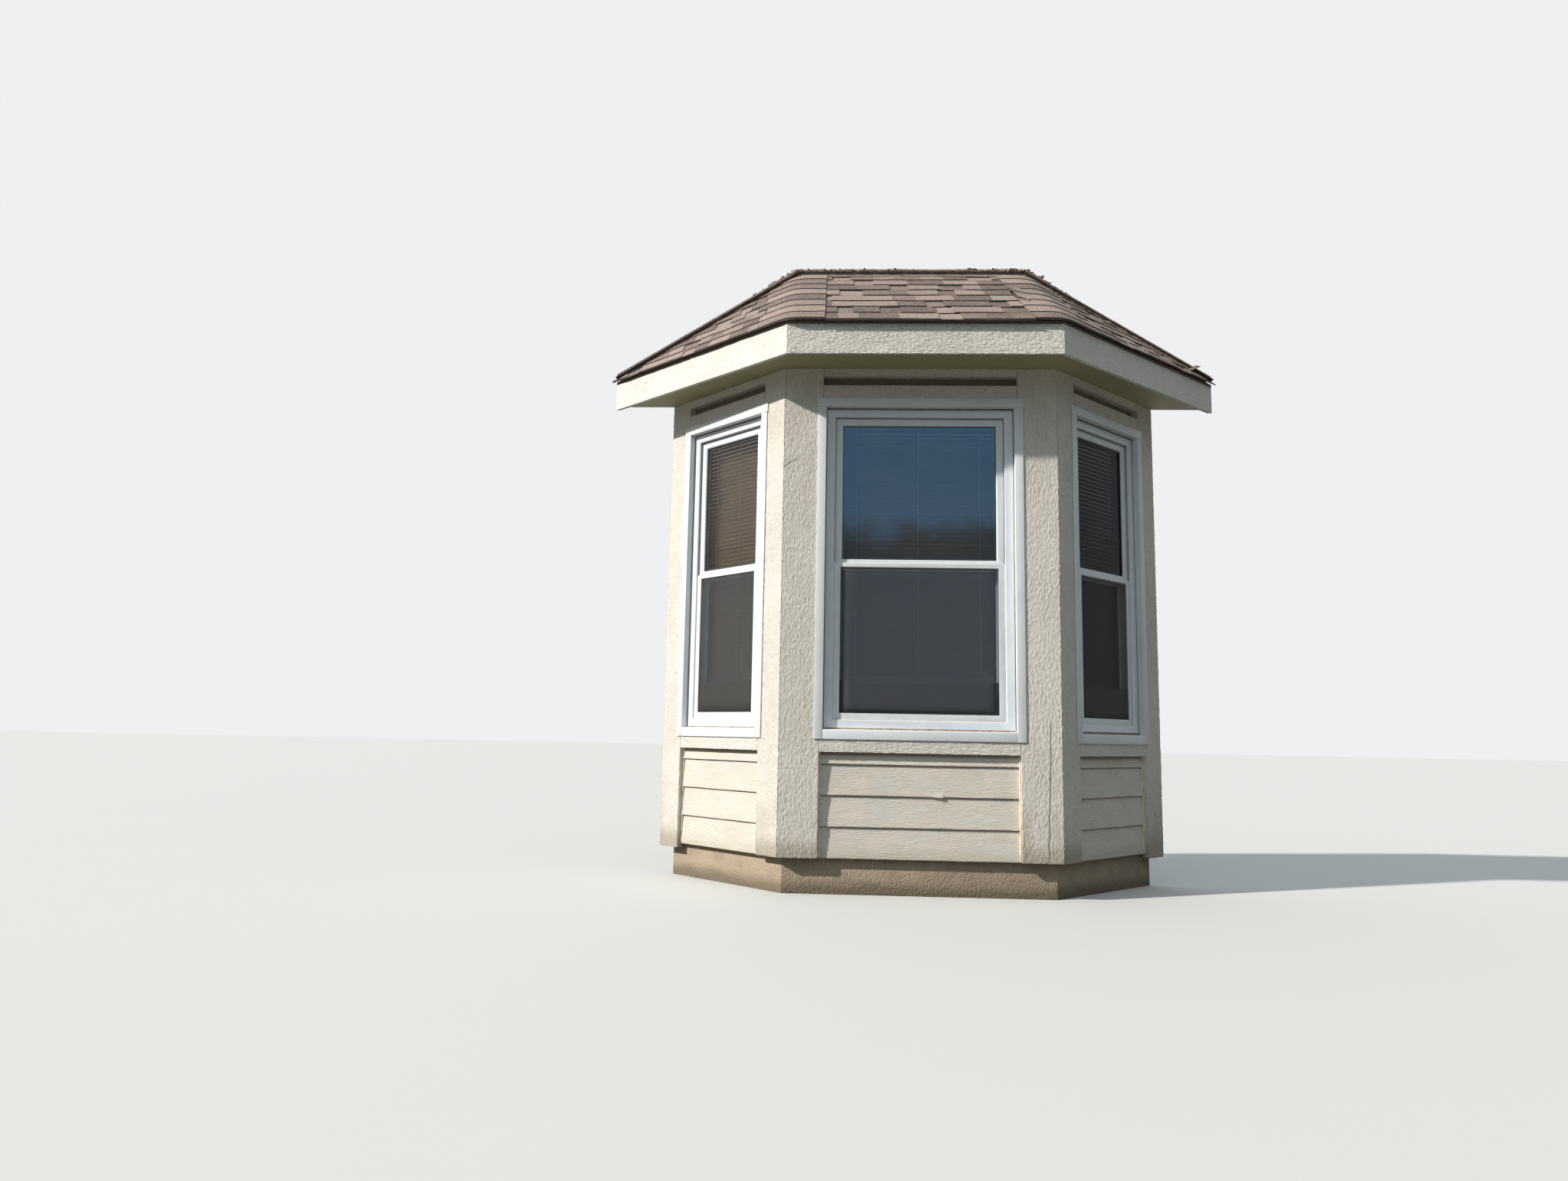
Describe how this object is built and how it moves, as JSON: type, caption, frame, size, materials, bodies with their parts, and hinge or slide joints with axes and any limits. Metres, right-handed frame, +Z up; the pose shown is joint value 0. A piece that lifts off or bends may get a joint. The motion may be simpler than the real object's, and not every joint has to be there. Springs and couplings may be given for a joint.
{
  "type": "bay window",
  "caption": "Three-sided bay window with angled sides, stepped double-hung windows, lap siding, trim boards and its own hipped shingle roof on a low foundation",
  "frame": {"origin": "ground level under the middle of the object, at the underside of the foundation", "axes": "+Z up, +Y towards the house, X along the house wall"},
  "size_m": [3.213, 0.9, 3.218],
  "materials": {
    "foundation": "rough tan masonry",
    "framing": "sawn softwood",
    "lining": "painted plasterboard",
    "trim": "rough-sawn boards, weathered off-white paint",
    "siding": "embossed lap siding, off-white paint",
    "casing": "smooth white paint",
    "vinyl": "satin white",
    "glass": "clear",
    "screen": "dark grey mesh",
    "blind": "tan slats",
    "soffit": "smooth cream paint",
    "fascia": "rough-sawn, white paint",
    "shingles": "brown mineral granules",
    "flashing": "weathered caulk and paint"
  },
  "bodies": {
    "root": {"foundation": "foundation", "front_wall": "framing", "left_wall": "framing", "right_wall": "framing", "wall_lining": "lining", "ceiling": "lining", "left_front_corner_board": "trim", "left_side_corner_board": "trim", "right_front_corner_board": "trim", "right_side_corner_board": "trim", "left_wall_board": "trim", "right_wall_board": "trim", "frieze_boards": "trim", "header_boards": "trim", "apron_boards": "trim", "front_siding": "siding", "left_siding": "siding", "right_siding": "siding", "soffit": "soffit", "front_fascia": "fascia", "left_fascia": "fascia", "right_fascia": "fascia", "roof_frame": "framing", "roof_deck": "framing", "front_shingles": "shingles", "left_shingles": "shingles", "right_shingles": "shingles", "wall_flashing": "flashing", "front_casing": "casing", "front_window_frame": "vinyl", "front_upper_sash": "vinyl", "front_lower_sash": "vinyl", "front_glass": "glass", "front_screen": "screen", "front_blind": "blind", "left_casing": "casing", "left_window_frame": "vinyl", "left_upper_sash": "vinyl", "left_lower_sash": "vinyl", "left_glass": "glass", "left_screen": "screen", "left_blind": "blind", "right_casing": "casing", "right_window_frame": "vinyl", "right_upper_sash": "vinyl", "right_lower_sash": "vinyl", "right_glass": "glass", "right_screen": "screen", "right_blind": "blind"}
  },
  "joints": []
}
